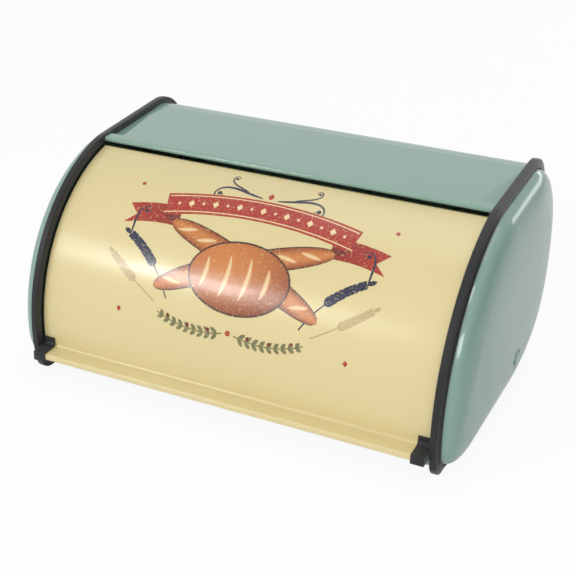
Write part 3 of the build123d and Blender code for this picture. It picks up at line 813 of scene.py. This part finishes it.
def lidPrint():
    tone = {name: fromScreen(value) for name, value in ink.items() if isinstance(value, tuple)}
    sheet = InkSheet()
    loafAndBaguettes(sheet, tone)
    ribbon(sheet, tone)
    for side in (-1, 1):
        sprig(sheet, tone, side)
        for name, form in ears.items():
            ear(sheet, tone[name], side, **form)
        for form in scrolls:
            scroll(sheet, tone["navy"], side, **form)
        for (u, v), radii, around in marks["sides"]:
            sheet.disc((side * u, v), radii, 1, tone["red"], around=around)
    for place, radii, around in marks["middle"]:
        sheet.disc(place, radii, 1, tone["red"], around=around)
    piece = makePiece("lidPrint", sheet.patches, "lid", printedInk, weld=True,
                      colours=np.concatenate(sheet.inks))
    print("print laid in", len(sheet.patches), "patches,", len(piece.data.polygons), "faces")


lidPrint()

clip = dict(edge=0.35, segments=3)
for side in ("right", "left"):
    bevelledCopy(side + "_lid_clip", "lid", blackPlastic, clip["edge"], clip["segments"])
print("lid clips made")

# the hardware that stays as packed
kinds = {"lid_arm": creamEnamel, "pivot_pin": greenEnamel, "pivot_bush": bushNylon}
for name, node in frame["nodes"].items():
    if node.hide_render:
        continue
    chosen = next((m for key, m in kinds.items() if key in name), zincPlate)
    for place in node.material_slots:
        place.material = chosen
print("hardware dressed")

# floor, light and camera
camera = dict(azimuth=25.99, elevation=27.457, place=(388.5, -811.0, 491.5), lens=76.02, sensor=36.0,
              shift=(-0.0068, -0.0103), near=0.05, far=20.0)


def makeCamera():
    data = bpy.data.cameras.new("camera")
    data.lens = camera["lens"]
    data.sensor_width = camera["sensor"]
    data.shift_x, data.shift_y = camera["shift"]
    data.clip_start, data.clip_end = camera["near"], camera["far"]
    eye = addObject("camera", data)
    azimuth, elevation = math.radians(camera["azimuth"]), math.radians(camera["elevation"])
    back = Vector((math.sin(azimuth) * math.cos(elevation), -math.cos(azimuth) * math.cos(elevation),
                   math.sin(elevation)))
    x, y, z = camera["place"]
    eye.location = (x / 1000, (y + pivot[1]) / 1000, (z + pivot[2]) / 1000)
    eye.rotation_mode = "QUATERNION"
    eye.rotation_quaternion = (-back).to_track_quat("-Z", "Y")
    bpy.context.scene.camera = eye


# places in metres, powers in watts; the two panes are small windows whose reflections stand on the right
# cap beside the rim
lamps = dict(
    keyCore=dict(place=(-0.78, -1.27, 0.87), aim=(0, -0.05, 0.1), size=(0.26, 0.2), power=3.4),
    keySoft=dict(place=(-0.86, -1.27, 0.92), aim=(0, -0.05, 0.1), size=(1.1, 0.4), power=3.9),
    topSoft=dict(place=(0, 0.4, 1.8), aim=(0, 0, 0.1), size=(1.4, 1.0), power=4.8),
    backSoft=dict(place=(0.62, 1.5, 0.62), aim=(0.1, 0, 0.1), size=(1.0, 0.36), power=3.2),
    upperPane=dict(place=(0.31, -0.63, 1.3), aim=(0.17, -0.05, 0.15), size=(0.3, 0.28), power=1.6),
    lowerPane=dict(place=(0.6, -1.16, 0.74), aim=(0.17, -0.07, 0.12), size=(0.42, 0.34), power=3.6),
)


def areaLight(name, place, aim, size, power):
    data = bpy.data.lights.new(name, "AREA")
    data.shape = "RECTANGLE"
    data.size, data.size_y = size
    data.energy = power
    lamp = addObject(name, data)
    lamp.location = place
    lamp.rotation_mode = "QUATERNION"
    lamp.rotation_quaternion = (Vector(aim) - Vector(place)).to_track_quat("-Z", "Y")


# strengths of the world for diffuse light and for reflections; a grey card dims both towards the right
sky = dict(diffuse=0.5, seen=1.0, card=0.35, cardFrom=0.45, cardTo=0.9)


def paleWorld():
    # the camera sees plain white; the card is a smooth step on the x of the ray's direction
    world = bpy.data.worlds.new("world")
    bpy.context.scene.world = world
    world.use_nodes = True
    tree = world.node_tree
    nodes, links = tree.nodes, tree.links
    background = nodes["Background"]
    background.inputs["Color"].default_value = (1, 1, 1, 1)
    path = nodes.new("ShaderNodeLightPath")
    cameraRay = path.outputs["Is Camera Ray"]
    pick = nodes.new("ShaderNodeMapRange")
    pick.inputs["To Min"].default_value = sky["diffuse"]
    pick.inputs["To Max"].default_value = sky["seen"]
    links.new(mathNode(tree, "MAXIMUM", cameraRay, path.outputs["Is Glossy Ray"]), pick.inputs["Value"])
    way = nodes.new("ShaderNodeTexCoord")
    split = nodes.new("ShaderNodeSeparateXYZ")
    links.new(way.outputs["Generated"], split.inputs["Vector"])
    card = nodes.new("ShaderNodeMapRange")
    card.interpolation_type = "SMOOTHSTEP"
    card.inputs["From Min"].default_value = sky["cardFrom"]
    card.inputs["From Max"].default_value = sky["cardTo"]
    card.inputs["To Min"].default_value = 1.0
    card.inputs["To Max"].default_value = sky["card"]
    links.new(split.outputs["X"], card.inputs["Value"])
    dimmed = mathNode(tree, "MULTIPLY", pick.outputs["Result"], card.outputs["Result"])
    links.new(mathNode(tree, "MAXIMUM", dimmed, cameraRay), background.inputs["Strength"])


# how much plain white the floor takes on for the camera and for reflections
ground = dict(reach=6.0, drop=0.0002, colour=0.95, roughness=0.9, specular=0.1, cameraLift=0.91,
              glossyLift=0.3)


def paleFloor():
    # reflections keep more of the shadow on the floor than the camera does
    mesh = bpy.data.meshes.new("floor")
    reach = ground["reach"]
    mesh.from_pydata([(-reach, -reach, 0), (reach, -reach, 0), (reach, reach, 0), (-reach, reach, 0)], [],
                     [(0, 1, 2, 3)])
    floor = addObject("floor", mesh)
    floor.location = (0, 0, -ground["drop"])
    material = bpy.data.materials.new("paleFloor")
    material.use_nodes = True
    tree = material.node_tree
    nodes, links = tree.nodes, tree.links
    shader = nodes["Principled BSDF"]
    shader.inputs["Base Color"].default_value = (ground["colour"], ground["colour"], ground["colour"], 1)
    shader.inputs["Roughness"].default_value = ground["roughness"]
    shader.inputs["Specular IOR Level"].default_value = ground["specular"]
    white = nodes.new("ShaderNodeEmission")
    path = nodes.new("ShaderNodeLightPath")
    mirrored = mathNode(tree, "MULTIPLY", path.outputs["Is Glossy Ray"], ground["glossyLift"])
    lift = mathNode(tree, "MULTIPLY_ADD", path.outputs["Is Camera Ray"], ground["cameraLift"], mirrored)
    mix = nodes.new("ShaderNodeMixShader")
    links.new(lift, mix.inputs["Fac"])
    links.new(shader.outputs["BSDF"], mix.inputs[1])
    links.new(white.outputs["Emission"], mix.inputs[2])
    links.new(mix.outputs["Shader"], nodes["Material Output"].inputs["Surface"])
    mesh.materials.append(material)


makeCamera()
paleWorld()
paleFloor()
for name, lamp in lamps.items():
    areaLight(name, **lamp)
bpy.context.scene.view_settings.view_transform = "Standard"

print("scene made")
